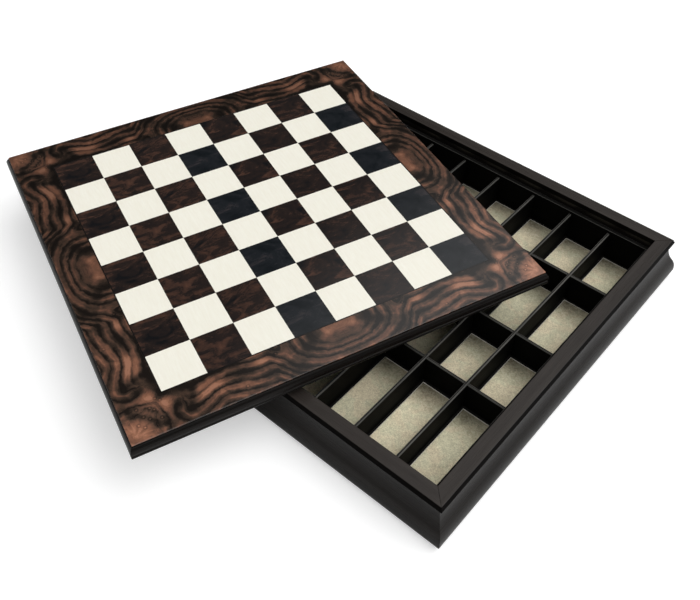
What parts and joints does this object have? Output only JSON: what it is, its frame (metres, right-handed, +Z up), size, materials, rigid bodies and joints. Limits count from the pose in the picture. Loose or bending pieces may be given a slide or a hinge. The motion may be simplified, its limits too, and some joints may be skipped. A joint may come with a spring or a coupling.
{
  "type": "chess box with lift-off board",
  "caption": "Square chess box: a veneered playing board with a burl border, lying turned on an open tray with padded compartments.",
  "frame": {"origin": "middle of the box's underside, on the surface it stands on", "axes": "+Z up out of the tray, +X to the box's right, +Y to its back; the long dividers run along X"},
  "size_m": [0.5886, 0.5256, 0.0725],
  "materials": {
    "frame_wood": "satin espresso lacquer over a fine straight grain",
    "tray_black": "matt black stain",
    "panel_black": "matt black stain",
    "baize": "dark felted baize",
    "suede_pads": "beige suede cloth with a short nap",
    "core_board": "raw fibreboard, hidden",
    "backing_veneer": "dark stained veneer, satin",
    "edge_wood": "satin near-black lacquer",
    "batten_wood": "satin espresso stain",
    "burl_border": "figured burl veneer under gloss lacquer",
    "string_black": "dyed black string line under gloss lacquer",
    "ivory_veneer": "pale ivory veneer under gloss lacquer",
    "brown_burl": "dark brown burl veneer under gloss lacquer",
    "black_burl": "smoked near-black burl veneer under gloss lacquer"
  },
  "bodies": {
    "box": {"frame_rail_front": "frame_wood", "frame_rail_right": "frame_wood", "frame_rail_back": "frame_wood", "frame_rail_left": "frame_wood", "liner_front": "tray_black", "liner_right": "tray_black", "liner_back": "tray_black", "liner_left": "tray_black", "bottom_panel": "panel_black", "base_baize": "baize", "long_divider_1": "tray_black", "long_divider_2": "tray_black", "long_divider_3": "tray_black", "cross_divider_1": "tray_black", "cross_divider_2": "tray_black", "cross_divider_3": "tray_black", "cross_divider_4": "tray_black", "cross_divider_5": "tray_black", "cross_divider_6": "tray_black", "cross_divider_7": "tray_black", "pads_row_1": "suede_pads", "pads_row_2": "suede_pads", "pads_row_3": "suede_pads", "pads_row_4": "suede_pads"},
    "board_lid": {"board_core": "core_board", "board_backing": "backing_veneer", "edge_moulding_front": "edge_wood", "edge_moulding_right": "edge_wood", "edge_moulding_back": "edge_wood", "edge_moulding_left": "edge_wood", "batten_front": "batten_wood", "batten_right": "batten_wood", "batten_back": "batten_wood", "batten_left": "batten_wood", "border_front_left": "burl_border", "border_front_right": "burl_border", "border_right_front": "burl_border", "border_right_back": "burl_border", "border_back_right": "burl_border", "border_back_left": "burl_border", "border_left_back": "burl_border", "border_left_front": "burl_border", "string_lines": "string_black", "light_squares": "ivory_veneer", "brown_squares": "brown_burl", "black_squares": "black_burl"}
  },
  "joints": [
    {"name": "lift_off", "type": "slide", "parent": "box", "child": "board_lid", "axis": [0, 0, 1], "range_m": [0, 0.15]}
  ]
}
